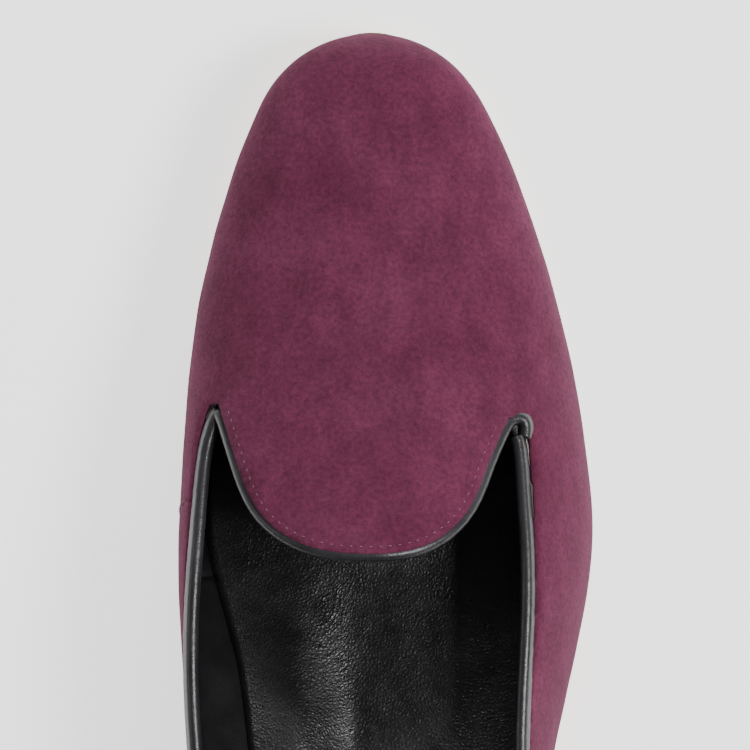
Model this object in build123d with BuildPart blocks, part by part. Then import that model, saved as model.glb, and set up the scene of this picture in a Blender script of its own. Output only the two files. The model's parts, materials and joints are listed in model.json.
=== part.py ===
"""Smoking slipper: a round-toed slip-on shoe for the right foot, in millimetres.

+Y points to the toe, +X to the little-toe (lateral) side and +Z up. The ground is z = 0.
The upper is three nested skins, suede outside, backing and stiffeners between, leather lining
inside. Each skin folds under the insole board as a lasting margin, and the outsole closes it.
"""

from build123d import *
from math import cos, dist, exp, radians, sin, tan
import os
from numpy import interp
from scipy.interpolate import CubicSpline

# Overall sizes
length = 300.0  # back strip to toe tip
ball_width = 100.0  # widest place of the suede
vamp_rise = 100.0  # height of the full section over the heel; the instep follows it
heel_height = 18.0  # ground to the outsole at the heel seat
toe_spring = 12.0  # ground to the outsole at the toe tip

# Material thicknesses
suede = 1.2
backing = 1.0
lining = 0.9
back_strip = 0.9
outsole_thickness = 4.5
insole_thickness = 2.5
footbed_thickness = 2.5
sock_thickness = 1.0

# Piping round the top edge
piping_radius = 1.6
cord_radius = 0.9  # of the cord inside the piping
piping_gap = 0.1  # between the bead and the cut edges under it

# Heel
lift_thickness = 4.0
lift_count = 3
heel_breast = -86.0  # where the heel ends towards the waist
heel_taper = 3.0  # degrees that the heel narrows downwards
breast_hollow = 5.0  # of the heel's front face
heel_nail_radius = 1.1
heel_nail_length = 19.0
heel_nail_head = 2.6  # radius
heel_nail_head_thickness = 0.8
tip_nail_radius = 0.9
tip_nail_length = 9.0
tip_nail_head = 1.9  # radius
tip_nail_head_thickness = 0.7
tip_nail_recess = 0.6

# Bottom
contact_y = 40.0  # where the forepart meets the ground
edge_extension = 1.6  # sole edge outside the foot of the upper
toe_edge = 0.4  # sole edge ahead of the toe
lasting_margin = 14.0
heel_centre = -112.0  # middle of the heel's round
seat_gap = 0.05  # between pieces that rest on each other without glue
shank_width = 13.0
shank_length = 112.0
shank_thickness = 1.4
shank_middle = -62.0
filler_split = -8.0  # cork ahead of it, leatherboard behind
channel_inset = 6.0  # stitch channel from the sole edge
channel_width = 1.6
channel_depth = 0.9
channel_stop = 3.0  # channel's end ahead of the heel
stitch_length = 3.4
stitch_pitch = 4.6
stitch_radius = 0.42
arch_rise = 6.5  # of the moulded footbed, on the medial side
arch_y = -30.0
arch_spread = 30.0
trim_allowance = 3.0  # cut from the foot of each skin after lofting
section_spans = 16  # of each section's curve
fine_steps = 24  # between which a section's curve is measured
inset_points = 32  # along an outline that lies inside the sole's

# Where the pieces of the upper meet, measured along Y
toe_puff_start = 97.0
counter_end = -72.0
heel_grip_end = -104.0
lining_seam = 17.0
side_seam_top = 40.0
side_seam_foot = 27.0
strip_top_width = 22.0
strip_foot_width = 13.0
strip_reach = 30.0  # how far forward the back strip may follow the heel

# The shape tables are those of a 300 by 100 mm shoe and stretch with the sizes above
long = length / 300.0
wide = ball_width / 100.0
tall = vamp_rise / 100.0

toe_tip = length / 2 - toe_edge
heel_back = -length / 2 + back_strip
half = (toe_tip - heel_back) / 2
middle = (toe_tip + heel_back) / 2
axis_x = -3.5 * wide  # line from heel to toe; the ball stands out further on the lateral side
skin = suede + backing + lining
breast = heel_breast * long
contact = contact_y * long
heel_tip_thickness = heel_height - lift_count * lift_thickness

MEDIAL, LATERAL = -1, 1


def curve(*points, round_ends=False):
    """A smooth function of y through (y, value). A round end runs straight in the value's square."""
    ys = [y for y, value in points]
    values = [value**2 if round_ends else value for y, value in points]
    spline = CubicSpline(ys, values, bc_type="natural")

    def value_at(y):
        y = min(max(y, ys[0]), ys[-1])
        value = float(spline(y))
        return max(value, 0.0) ** 0.5 if round_ends else value

    return value_at


# Half-widths from the heel-toe line at the fullest height
half_width = {
    LATERAL: curve(
        (-150, 0), (-145, 17.2), (-135, 27.4), (-115, 33), (-85, 34.6), (-55, 38), (-23.8, 44.2),
        (0, 49.6), (26.8, 53.5), (41.3, 52.8), (70.4, 48.4), (99.4, 40.4), (128.5, 29.1), (143, 18.7),
        (147.8, 10.7), (150, 0), round_ends=True,
    ),
    MEDIAL: curve(
        (-150, 0), (-145, 17.2), (-135, 27.4), (-115, 33), (-85, 35.8), (-55, 39.6), (-23.8, 43.4),
        (0, 45.4), (26.8, 46.5), (41.3, 45.9), (70.4, 43.8), (99.4, 38.5), (128.5, 28.9), (143, 18.9),
        (147.8, 10.9), (150, 0), round_ends=True,
    ),
}  # fmt: skip

# Height of the middle of the section over the sole
ridge = curve(
    (-150, 28), (-148, 50), (-144, 70), (-135, 90), (-115, 100), (-90, 96), (-60, 85), (-24, 73.5),
    (0, 68.5), (20, 63), (40, 56), (60, 48.6), (80, 41), (100, 34.4), (120, 28.6), (135, 23), (143, 17.4),
    (147, 12), (150, 0), round_ends=True,
)  # fmt: skip

# Height of the fullest place, as a share of the ridge
fullest = {
    LATERAL: curve((-150, 0.3), (-85, 0.25), (-24, 0.18), (27, 0.17), (60, 0.2), (100, 0.32), (150, 0.42)),
    MEDIAL: curve((-150, 0.3), (-85, 0.31), (-24, 0.42), (27, 0.35), (60, 0.33), (100, 0.35), (150, 0.42)),
}

# How far the foot of the wall draws in from the fullest place, as a share of the half-width
draw_in = {
    LATERAL: curve((-150, 0.1), (-85, 0.09), (-24, 0.07), (27, 0.05), (100, 0.05), (150, 0.06)),
    MEDIAL: curve(
        (-150, 0.1), (-115, 0.11), (-85, 0.22), (-50, 0.41), (-24, 0.42), (5, 0.24), (27, 0.1),
        (60, 0.055), (100, 0.05), (150, 0.06),
    ),
}  # fmt: skip

# Superellipse exponent of the shoulder: 2 is round, 3 is square
shoulder = {
    LATERAL: curve((-150, 2.3), (-85, 2.2), (-24, 1.6), (27, 1.8), (60, 2.0), (100, 2.15), (150, 2.1)),
    MEDIAL: curve((-150, 2.3), (-85, 2.5), (-24, 2.8), (27, 2.8), (47, 2.95), (62, 2.7), (100, 2.3), (150, 2.1)),
}

# Side view of the top edge, at the middle of the piping
top_edge = curve(
    (-150, 80), (-120, 71.5), (-90, 63), (-60, 56.8), (-30, 52.6), (0, 50.2), (27, 47.2), (42, 44.4),
    (52, 42.8), (60, 42.6), (75, 42.6),
)  # fmt: skip

# Plan of the tongue's edge, at the middle of the piping, as (x from the heel-toe line, y)
tongue_plan = (
    (-36.6, 59.5), (-32.3, 46.5), (-26.3, 33.8), (-16.2, 26.8), (-2, 24.6), (13.2, 26.8), (22.4, 34.2),
    (27.8, 46), (32.6, 56.2),
)  # fmt: skip


# Nails, as (x from the heel-toe line, y)
heel_nail_spots = ((-17, -101), (17, -101), (-18, -119), (18, -119), (0, -134))
tip_nail_spots = ((-24, -96), (24, -96), (-25, -112), (25, -112), (-20, -128), (20, -128), (-9, -139), (9, -139))


def table_y(y, inset=0.0):
    """Where y of a skin that lies inset inside the suede falls in the shape tables."""
    return (y - middle) / (half - inset) * 150.0


def smooth_step(t):
    t = min(max(t, 0.0), 1.0)
    return t * t * (3 - 2 * t)


def sole_bottom(y):
    """Underside of the outsole: flat on the heel, down through the waist, up at the toe."""
    if y < contact:
        return heel_height * smooth_step((contact - y) / (contact - breast))
    return toe_spring * ((y - contact) / (toe_tip - contact)) ** 2


def sole_top(y):
    return sole_bottom(y) + outsole_thickness


def section(side, y, inset=0.0):
    """One side of the upper's section: half-width, draw-in, exponent and the three heights."""
    t = table_y(y, inset)
    full = half_width[side](t) * wide
    width = max(full - inset, 0.4)
    height = ridge(t) * tall
    base = sole_top(y) + inset
    equator = sole_top(y) + fullest[side](t) * height
    top = max(sole_top(y) + height - inset, base + 0.8)
    equator = min(max(equator, base + 0.3), top - 0.3)
    return width, min(draw_in[side](t) * full, 0.7 * width), shoulder[side](t), base, equator, top


def wall_x(side, y, z, inset=0.0):
    """X of the upper's surface at a height."""
    width, drawn, power, base, equator, top = section(side, y, inset)
    if z < equator:
        reach = width - drawn * smooth_step((equator - z) / (equator - base))
    else:
        reach = width * max(1 - min((z - equator) / (top - equator), 1) ** power, 0) ** (1 / power)
    return axis_x + side * reach


def wall_z(x, y, inset=0.0):
    """Height of the upper's top surface over a point of the plan."""
    side = LATERAL if x > axis_x else MEDIAL
    width, drawn, power, base, equator, top = section(side, y, inset)
    share = min(abs(x - axis_x) / width, 1)
    return equator + (top - equator) * (1 - share**power) ** (1 / power)


def foot_x(side, y, inset=0.0):
    """X of the foot of the wall, where the upper turns under the insole."""
    width, drawn, *rest = section(side, y, inset)
    return axis_x + side * (width - drawn)


def stations(inset=0.0, count=19, tip_angle=4.0):
    """Y of the sections, close together at the round ends."""
    turn = (180 - 2 * tip_angle) / (count - 1)
    return [middle - (half - inset) * cos(radians(tip_angle + turn * i)) for i in range(count)]


def section_points(y, inset):
    """Evenly spaced points of the upper's section, from the medial foot over the top to the other."""
    halves = []
    for side in (MEDIAL, LATERAL):
        width, drawn, power, base, equator, top = section(side, y, inset)
        points = [(wall_x(side, y, base, inset), base - trim_allowance)]
        for i in range(fine_steps):
            z = base + (equator - base) * i / fine_steps
            points.append((wall_x(side, y, z, inset), z))
        for i in range(fine_steps):
            angle = radians(90 * i / fine_steps)
            reach = width * cos(angle) ** (2 / power)
            rise = (top - equator) * sin(angle) ** (2 / power)
            points.append((axis_x + side * reach, equator + rise))
        halves.append(points)
    fine = [*halves[0], (axis_x, top), *reversed(halves[1])]
    lengths = [0.0]
    for start, end in zip(fine, fine[1:]):
        lengths.append(lengths[-1] + dist(start, end))
    marks = [lengths[-1] * i / section_spans for i in range(section_spans + 1)]
    xs = interp(marks, lengths, [x for x, z in fine])
    zs = interp(marks, lengths, [z for x, z in fine])
    return [(float(x), float(z)) for x, z in zip(xs, zs)]


def build_last(inset):
    """Solid inside one skin's surface, trimmed at the height where that skin turns under."""
    even = [i / section_spans for i in range(section_spans + 1)]
    with BuildPart() as last:
        for y in stations(inset):
            points = section_points(y, inset)
            with BuildSketch(Plane.XZ.offset(-y)):
                with BuildLine():
                    add(Edge.make_spline(points, parameters=even))
                    Line(points[-1], points[0])
                make_face()
        loft()
        add(below(outsole_thickness + max(inset, 0)), mode=Mode.SUBTRACT)
    return last.part


def below(rise, floor=-30.0):
    """Block under the curve that runs that far above the outsole's underside."""
    far = 12.0
    ys = [breast + (toe_tip + far - breast) * i / 14 for i in range(15)]
    slope = 2 * toe_spring * (toe_tip + far - contact) / (toe_tip - contact) ** 2
    with BuildPart() as block:
        with BuildSketch(Plane.YZ):
            with BuildLine():
                Line((heel_back - far, heel_height + rise), (breast, heel_height + rise))
                Spline(*[(y, sole_bottom(y) + rise) for y in ys], tangents=((1, 0), (1, slope)))
                Polyline(
                    (ys[-1], sole_bottom(ys[-1]) + rise),
                    (ys[-1], floor),
                    (heel_back - far, floor),
                    (heel_back - far, heel_height + rise),
                )
            make_face()
        extrude(amount=ball_width, both=True)
    return block.part


def slab(low, high):
    """Everything between two heights over the outsole's underside."""
    with BuildPart() as layer:
        add(below(high))
        add(below(low, floor=-40.0), mode=Mode.SUBTRACT)
    return layer.part


def bed_bump(x, y):
    """Arch rise of the moulded footbed, on the medial side."""
    arch = arch_rise * exp(-(((y - arch_y * long) / (arch_spread * long)) ** 2))
    return arch * smooth_step(((axis_x - x) / wide - 3) / 17)


def below_bed(rise):
    """Block under the moulded footbed's surface."""
    columns = [axis_x + wide * x for x in (-58, -40, -28, -20, -14, -8, -3, 3, 12, 26, 42, 58)]
    count = 24
    with BuildPart() as block:
        for i in range(count):
            y = heel_back - 8 + (length + 16) * i / (count - 1)
            surface = [(x, sole_bottom(y) + rise + bed_bump(x, y)) for x in columns]
            with BuildSketch(Plane.XZ.offset(-y)):
                with BuildLine():
                    add(Edge.make_spline(surface, parameters=columns))
                    Polyline(surface[-1], (columns[-1], -40.0), (columns[0], -40.0), surface[0])
                make_face()
        loft()
    return block.part


def rim_z(y):
    """Height of the middle of the side piping."""
    return top_edge(table_y(y)) + heel_height - 18.0


def tongue_points(ahead=0.0):
    """Plan of the tongue's edge, moved that far ahead of the middle of its piping."""
    with BuildLine() as edge:
        Spline(*[(axis_x + x * wide, y * long) for x, y in tongue_plan])
    points = []
    for i in range(13):
        point = edge.line @ (i / 12)
        along = edge.line % (i / 12)
        points.append((point.X - along.Y * ahead, point.Y + along.X * ahead))
    return points


def above_rim(distance=0.0):
    """Everything over the side piping's middle line, lowered by a distance."""
    reach = length / 2 + 30
    ys = [-reach + 2 * reach * i / 18 for i in range(19)]
    with BuildPart() as upper:
        with BuildSketch(Plane.YZ):
            with BuildLine():
                Spline(*[(y, rim_z(y) - distance) for y in ys])
                Polyline(
                    (ys[-1], rim_z(ys[-1]) - distance),
                    (ys[-1], 3 * vamp_rise),
                    (ys[0], 3 * vamp_rise),
                    (ys[0], rim_z(ys[0]) - distance),
                )
            make_face()
        extrude(amount=ball_width, both=True)
    return upper.part


def opening(distance):
    """What is cut away for the foot, at a distance outside the middle of the piping."""
    edge = tongue_points(distance)
    with BuildPart() as cut:
        add(above_rim(distance))
        with BuildSketch():
            with BuildLine():
                Spline(*edge)
                Polyline(
                    edge[-1],
                    (2 * ball_width, edge[-1][1]),
                    (2 * ball_width, length),
                    (-2 * ball_width, length),
                    (-2 * ball_width, edge[0][1]),
                    edge[0],
                )
            make_face()
        extrude(amount=4 * vamp_rise, mode=Mode.SUBTRACT)
    return cut.part


def sole_outline(inset=0.0):
    """Plan of the outsole's edge, drawn in by inset."""
    ys = stations(count=23)[1:-1]
    reach = {}
    for side in (MEDIAL, LATERAL):
        reach[side] = []
        for y in ys:
            fade = 1 - ((y - middle) / half) ** 6
            reach[side].append((foot_x(side, y) + side * edge_extension * fade, y))
    ring = [(axis_x, -length / 2), *reach[LATERAL], (axis_x, length / 2), *reversed(reach[MEDIAL])]
    with BuildSketch() as outline:
        with BuildLine() as edge:
            Spline(*ring, periodic=True)
        if inset:
            ring = []
            for i in range(inset_points):
                point = edge.line @ (i / inset_points)
                along = edge.line % (i / inset_points)
                ring.append((point.X - along.Y * inset, point.Y + along.X * inset))
            with BuildLine(mode=Mode.PRIVATE) as inner:
                Spline(*ring, periodic=True)
            make_face(inner.edges())
        else:
            make_face(edge.edges())
    return outline.sketch


def column(plan):
    """A plan drawn out into a column through the whole shoe."""
    with BuildPart() as tower:
        with BuildSketch(Plane.XY.offset(-20)):
            add(plan)
        extrude(amount=4 * vamp_rise)
    return tower.part


def block(x_low, x_high, y_low, y_high, z_low=-50.0, z_high=300.0):
    """A plain block used to divide pieces."""
    with BuildPart() as box:
        with Locations(((x_low + x_high) / 2, (y_low + y_high) / 2, (z_low + z_high) / 2)):
            Box(x_high - x_low, y_high - y_low, z_high - z_low)
    return box.part


def rim_path(inset):
    """Middle line of the side piping: from the medial notch round the heel to the lateral notch."""
    ends = {MEDIAL: tongue_plan[0][1] * long, LATERAL: tongue_plan[-1][1] * long}
    centre = heel_centre * long
    sides = {}
    for side in (MEDIAL, LATERAL):
        ys = [ends[side] + (centre - ends[side]) * i / 13 for i in range(14)]
        sides[side] = [(wall_x(side, y, rim_z(y), inset), y, rim_z(y)) for y in ys]
    back = []
    for degrees in range(200, 341, 20):
        near, far = 0.0, ball_width
        for _ in range(40):
            reach = (near + far) / 2
            x = axis_x + reach * cos(radians(degrees))
            y = centre + reach * sin(radians(degrees))
            inside = y > heel_back + inset and wall_z(x, y, inset) > rim_z(y)
            near, far = (reach, far) if inside else (near, reach)
        back.append((x, y, rim_z(y)))
    return sides[MEDIAL] + back + sides[LATERAL][::-1]


def tongue_path(inset, rim_points):
    """Middle line of the tongue's piping, which ends beside the side piping at both notches."""
    with BuildLine() as rim:
        Spline(*rim_points)
    beside = [tuple(rim.line @ (i / 300)) for i in range(301)]
    with BuildLine() as edge:
        Spline(*[(axis_x + x * wide, y * long) for x, y in tongue_plan])
    path = []
    for i in range(61):
        point = edge.line @ (i / 60)
        place = (point.X, point.Y, wall_z(point.X, point.Y, inset))
        if min(dist(place, near) for near in beside) > 2 * piping_radius + piping_gap:
            path.append(place)
    return path[::3] if (len(path) - 1) % 3 == 0 else [*path[::3], path[-1]]


def bar(path, radius):
    """A round bar along a path."""
    with BuildPart() as rod:
        with BuildLine() as line:
            Spline(*path)
        with BuildSketch(Plane(line.line @ 0, z_dir=line.line % 0)):
            Circle(radius)
        sweep(path=line.line)
    return rod.part


def behind_side_seam():
    """The shoe's medial side behind the slanted side seam, under the top edge."""
    top, foot = side_seam_top * long, side_seam_foot * long
    reach = length
    rise = 60.0
    lean = (top - foot) / rise
    with BuildPart() as rear:
        with BuildSketch(Plane.YZ.offset(axis_x - reach)):
            with BuildLine():
                Polyline(
                    (foot - 50 * lean, -50),
                    (foot + 200 * lean, 200),
                    (-reach, 200),
                    (-reach, -50),
                    (foot - 50 * lean, -50),
                )
            make_face()
        extrude(amount=reach)
        add(above_rim(piping_radius + piping_gap), mode=Mode.SUBTRACT)
    return rear.part


def pin(x, y, low, high, radius):
    """A round upright bar between two heights."""
    with BuildPart() as rod:
        with BuildSketch(Plane.XY.offset(low)):
            with Locations((x, y)):
                Circle(radius)
        extrude(amount=high - low)
    return rod.part


def heel_block(low, high):
    """The heel between two heights over the ground, narrowing towards it."""
    shrink = tan(radians(heel_taper))
    with BuildPart() as stack:
        with BuildSketch(Plane.XY):
            add(sole_outline(heel_height * shrink))
        with BuildSketch(Plane.XY.offset(heel_height)):
            add(sole_outline())
        loft()
        with BuildSketch(Plane.XY.offset(low)):
            with BuildLine():
                corner = breast + breast_hollow
                ThreePointArc((-ball_width, corner), (axis_x, breast - breast_hollow), (ball_width, corner))
                Polyline((ball_width, corner), (ball_width, -length), (-ball_width, -length), (-ball_width, corner))
            make_face()
        extrude(amount=high - low, mode=Mode.INTERSECT)
    return stack.part


os.makedirs("parts", exist_ok=True)

# Heights over the outsole's underside
insole_low = outsole_thickness + skin
insole_high = insole_low + insole_thickness
bed_high = insole_high + footbed_thickness

suede_out = build_last(0.0)
suede_in = build_last(suede)
lining_out = build_last(suede + backing)
lining_in = build_last(skin)
foot_cut = opening(piping_radius + piping_gap)
medial_rear = behind_side_seam()
medial_half = block(-length, axis_x, -length, length)
lateral_half = block(axis_x, length, -length, length)

with BuildPart() as lasting_hole:
    add(column(sole_outline(edge_extension + lasting_margin)))
    add(slab(outsole_thickness - 4, insole_low + 0.2), mode=Mode.INTERSECT)

# The suede skin: a vamp that runs on along the lateral side, and a quarter on the medial side
with BuildPart() as suede_skin:
    add(suede_out)
    add(suede_in, mode=Mode.SUBTRACT)
    add(foot_cut, mode=Mode.SUBTRACT)
    add(lasting_hole.part, mode=Mode.SUBTRACT)

with BuildPart() as vamp:
    add(suede_skin.part)
    add(medial_rear, mode=Mode.SUBTRACT)
vamp.part.label = "vamp"
export_step(vamp.part, "parts/vamp.step")

with BuildPart() as medial_quarter:
    add(suede_skin.part)
    add(medial_rear, mode=Mode.INTERSECT)
medial_quarter.part.label = "medial_quarter"
export_step(medial_quarter.part, "parts/medial_quarter.step")

with BuildPart() as strip:
    with BuildSketch(Plane.XZ.offset(-heel_back)):
        with BuildLine():
            foot_z = heel_height + outsole_thickness
            Polyline(
                (axis_x - strip_foot_width / 2, foot_z),
                (axis_x + strip_foot_width / 2, foot_z),
                (axis_x + strip_top_width / 2, vamp_rise),
                (axis_x - strip_top_width / 2, vamp_rise),
                (axis_x - strip_foot_width / 2, foot_z),
            )
        make_face()
    extrude(amount=strip_reach, both=True)
    add(build_last(-back_strip), mode=Mode.INTERSECT)
    add(suede_out, mode=Mode.SUBTRACT)
    add(foot_cut, mode=Mode.SUBTRACT)
strip.part.label = "back_strip"
export_step(strip.part, "parts/back_strip.step")

# The middle skin: stiffeners at toe and heel, backing cloth between
with BuildPart() as middle_skin:
    add(suede_in)
    add(lining_out, mode=Mode.SUBTRACT)
    add(foot_cut, mode=Mode.SUBTRACT)
    add(lasting_hole.part, mode=Mode.SUBTRACT)

puff_zone = block(-length, length, toe_puff_start * long, length)
counter_zone = block(-length, length, -length, counter_end * long)

with BuildPart() as toe_puff:
    add(middle_skin.part)
    add(puff_zone, mode=Mode.INTERSECT)
toe_puff.part.label = "toe_puff"
export_step(toe_puff.part, "parts/toe_puff.step")

with BuildPart() as heel_counter:
    add(middle_skin.part)
    add(counter_zone, mode=Mode.INTERSECT)
heel_counter.part.label = "heel_counter"
export_step(heel_counter.part, "parts/heel_counter.step")

with BuildPart() as backing_cloth:
    add(middle_skin.part)
    add(puff_zone, mode=Mode.SUBTRACT)
    add(counter_zone, mode=Mode.SUBTRACT)
backing_cloth.part.label = "backing_cloth"
export_step(backing_cloth.part, "parts/backing_cloth.step")

# The lining: one piece under the vamp, two quarters and a grip round the heel
with BuildPart() as lining_skin:
    add(lining_out)
    add(lining_in, mode=Mode.SUBTRACT)
    add(foot_cut, mode=Mode.SUBTRACT)
    add(lasting_hole.part, mode=Mode.SUBTRACT)

vamp_zone = block(-length, length, lining_seam * long, length)
grip_zone = block(-length, length, -length, heel_grip_end * long)

with BuildPart() as vamp_lining:
    add(lining_skin.part)
    add(vamp_zone, mode=Mode.INTERSECT)
vamp_lining.part.label = "vamp_lining"
export_step(vamp_lining.part, "parts/vamp_lining.step")

with BuildPart() as heel_grip:
    add(lining_skin.part)
    add(grip_zone, mode=Mode.INTERSECT)
heel_grip.part.label = "heel_grip"
export_step(heel_grip.part, "parts/heel_grip.step")

with BuildPart() as quarter_linings:
    add(lining_skin.part)
    add(vamp_zone, mode=Mode.SUBTRACT)
    add(grip_zone, mode=Mode.SUBTRACT)

for name, half_zone in (("medial", medial_half), ("lateral", lateral_half)):
    with BuildPart() as quarter_lining:
        add(quarter_linings.part)
        add(half_zone, mode=Mode.INTERSECT)
    quarter_lining.part.label = f"{name}_quarter_lining"
    export_step(quarter_lining.part, f"parts/{name}_quarter_lining.step")

# Piping: a leather bead round a cord, along the top line and along the tongue
cord_inset = suede + backing / 2
rim_line = rim_path(cord_inset)
tongue_line = tongue_path(cord_inset, rim_line)
rim_bead = bar(rim_line, piping_radius)
rim_bore = bar(rim_line, cord_radius)
tongue_bead = bar(tongue_line, piping_radius)
tongue_bore = bar(tongue_line, cord_radius)

for name, bead, bore in (("tongue", tongue_bead, tongue_bore), ("top_line", rim_bead, rim_bore)):
    with BuildPart() as piping:
        add(bead)
        add(bore, mode=Mode.SUBTRACT)
    piping.part.label = f"{name}_piping"
    export_step(piping.part, f"parts/{name}_piping.step")
    with BuildPart() as cord:
        add(bore)
    cord.part.label = f"{name}_piping_cord"
    export_step(cord.part, f"parts/{name}_piping_cord.step")

# Heel nails go down through the insole, the rear filler and the outsole into the lifts
insole_top = heel_height + insole_high
with BuildPart() as heel_nails:
    for x, y in heel_nail_spots:
        add(pin(axis_x + x * wide, y * long, insole_top - heel_nail_head_thickness, insole_top, heel_nail_head))
        add(pin(axis_x + x * wide, y * long, insole_top - heel_nail_length, insole_top, heel_nail_radius))
heel_nails.part.label = "heel_nails"
export_step(heel_nails.part, "parts/heel_nails.step")

# Tip nails go up through the rubber into the lifts, with their heads let in
with BuildPart() as tip_nails:
    for x, y in tip_nail_spots:
        place = (axis_x + x * wide, y * long)
        add(pin(*place, tip_nail_recess, tip_nail_recess + tip_nail_head_thickness, tip_nail_head))
        add(pin(*place, tip_nail_recess, tip_nail_recess + tip_nail_length, tip_nail_radius))
tip_nails.part.label = "tip_nails"
export_step(tip_nails.part, "parts/tip_nails.step")

# Inside the shoe: insole board, moulded footbed and leather sock
with BuildPart() as insole_board:
    add(lining_in)
    add(slab(insole_low, insole_high), mode=Mode.INTERSECT)
    add(heel_nails.part, mode=Mode.SUBTRACT)
insole_board.part.label = "insole_board"
export_step(insole_board.part, "parts/insole_board.step")

with BuildPart() as footbed:
    add(lining_in)
    add(below_bed(bed_high), mode=Mode.INTERSECT)
    add(below(insole_high, floor=-50.0), mode=Mode.SUBTRACT)
footbed.part.label = "footbed"
export_step(footbed.part, "parts/footbed.step")

with BuildPart() as sock:
    add(lining_in)
    add(below_bed(bed_high + sock_thickness), mode=Mode.INTERSECT)
    add(below_bed(bed_high), mode=Mode.SUBTRACT)
sock.part.label = "sock"
export_step(sock.part, "parts/sock.step")

# Under the insole: cork ahead, leatherboard behind with the steel shank let into it
with BuildPart() as shank:
    with BuildSketch(Plane.XY.offset(-20)):
        with Locations((axis_x, shank_middle * long)):
            SlotOverall(shank_length, shank_width, rotation=90)
    extrude(amount=4 * vamp_rise)
    add(slab(insole_low - shank_thickness, insole_low), mode=Mode.INTERSECT)
shank.part.label = "shank"
export_step(shank.part, "parts/shank.step")

with BuildPart() as filler:
    add(lasting_hole.part)
    add(slab(outsole_thickness, insole_low), mode=Mode.INTERSECT)
    add(shank.part, mode=Mode.SUBTRACT)
    add(heel_nails.part, mode=Mode.SUBTRACT)
front_zone = block(-length, length, filler_split * long, length)

with BuildPart() as cork_filler:
    add(filler.part)
    add(front_zone, mode=Mode.INTERSECT)
cork_filler.part.label = "cork_filler"
export_step(cork_filler.part, "parts/cork_filler.step")

with BuildPart() as rear_filler:
    add(filler.part)
    add(front_zone, mode=Mode.SUBTRACT)
rear_filler.part.label = "rear_filler"
export_step(rear_filler.part, "parts/rear_filler.step")

# Outsole with a stitch channel round the forepart and waist
channel_end = breast + channel_stop
with BuildPart() as outsole:
    add(column(sole_outline()))
    add(slab(0.0, outsole_thickness), mode=Mode.INTERSECT)
    with BuildPart(mode=Mode.PRIVATE) as channel:
        add(column(sole_outline(channel_inset)))
        add(column(sole_outline(channel_inset + channel_width)), mode=Mode.SUBTRACT)
        add(slab(-1.0, channel_depth), mode=Mode.INTERSECT)
        add(block(-length, length, channel_end, length), mode=Mode.INTERSECT)
    add(channel.part, mode=Mode.SUBTRACT)
    add(heel_nails.part, mode=Mode.SUBTRACT)
outsole.part.label = "outsole"
export_step(outsole.part, "parts/outsole.step")

seam_outline = sole_outline(channel_inset + channel_width / 2).edges()[0]
with BuildPart() as sole_stitches:
    count = int(seam_outline.length / stitch_pitch)
    for i in range(count):
        point = seam_outline @ (i / count)
        along = seam_outline % (i / count)
        if point.Y > channel_end + stitch_length:
            ahead = along * (stitch_length / 2)
            rise = sole_bottom(point.Y + ahead.Y) - sole_bottom(point.Y - ahead.Y)
            level = sole_bottom(point.Y) + channel_depth - stitch_radius - seat_gap
            lie = Vector(2 * ahead.X, 2 * ahead.Y, rise).normalized()
            start = Vector(point.X, point.Y, level) - lie * (stitch_length / 2)
            with BuildSketch(Plane(start, z_dir=lie)):
                Circle(stitch_radius)
            extrude(amount=stitch_length)
sole_stitches.part.label = "sole_stitches"
export_step(sole_stitches.part, "parts/sole_stitches.step")

# Heel: stacked leather lifts and a rubber tip, cut to the outsole's round
for i in range(lift_count):
    low = heel_tip_thickness + i * lift_thickness
    with BuildPart() as lift:
        add(heel_block(low, low + lift_thickness))
        for x, y in heel_nail_spots:
            hole = pin(axis_x + x * wide, y * long, insole_top - heel_nail_length, insole_top, heel_nail_radius)
            add(hole, mode=Mode.SUBTRACT)
        for x, y in tip_nail_spots:
            hole = pin(axis_x + x * wide, y * long, 0, tip_nail_recess + tip_nail_length, tip_nail_radius)
            add(hole, mode=Mode.SUBTRACT)
    lift.part.label = f"heel_lift_{i + 1}"
    export_step(lift.part, f"parts/heel_lift_{i + 1}.step")

with BuildPart() as heel_tip:
    add(heel_block(0, heel_tip_thickness))
    for x, y in tip_nail_spots:
        place = (axis_x + x * wide, y * long)
        add(pin(*place, -1.0, heel_height, tip_nail_radius), mode=Mode.SUBTRACT)
        add(pin(*place, -1.0, tip_nail_recess + tip_nail_head_thickness, tip_nail_head), mode=Mode.SUBTRACT)
heel_tip.part.label = "heel_tip"
export_step(heel_tip.part, "parts/heel_tip.step")
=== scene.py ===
"""Looks of the suede smoking slipper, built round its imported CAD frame. Shapes are worked out in
millimetres in the CAD's own frame (+Y toe, +X lateral, +Z up) and written to meshes in metres."""

import bisect
import json
import math

import bpy
import numpy as np
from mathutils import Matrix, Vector, noise


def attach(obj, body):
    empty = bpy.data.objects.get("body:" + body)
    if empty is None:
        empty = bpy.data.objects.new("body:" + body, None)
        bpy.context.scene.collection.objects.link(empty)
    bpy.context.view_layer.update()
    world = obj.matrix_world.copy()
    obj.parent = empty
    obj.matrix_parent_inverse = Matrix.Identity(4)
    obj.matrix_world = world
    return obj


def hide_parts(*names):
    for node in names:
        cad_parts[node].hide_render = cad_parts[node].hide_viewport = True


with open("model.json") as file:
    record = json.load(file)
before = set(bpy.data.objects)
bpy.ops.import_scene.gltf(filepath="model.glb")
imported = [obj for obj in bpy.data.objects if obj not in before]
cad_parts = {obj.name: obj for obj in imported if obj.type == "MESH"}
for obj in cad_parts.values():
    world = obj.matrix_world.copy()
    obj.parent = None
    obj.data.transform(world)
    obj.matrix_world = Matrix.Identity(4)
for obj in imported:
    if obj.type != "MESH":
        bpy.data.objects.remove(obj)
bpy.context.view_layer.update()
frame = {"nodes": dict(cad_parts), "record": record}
MM = 0.001

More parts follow.
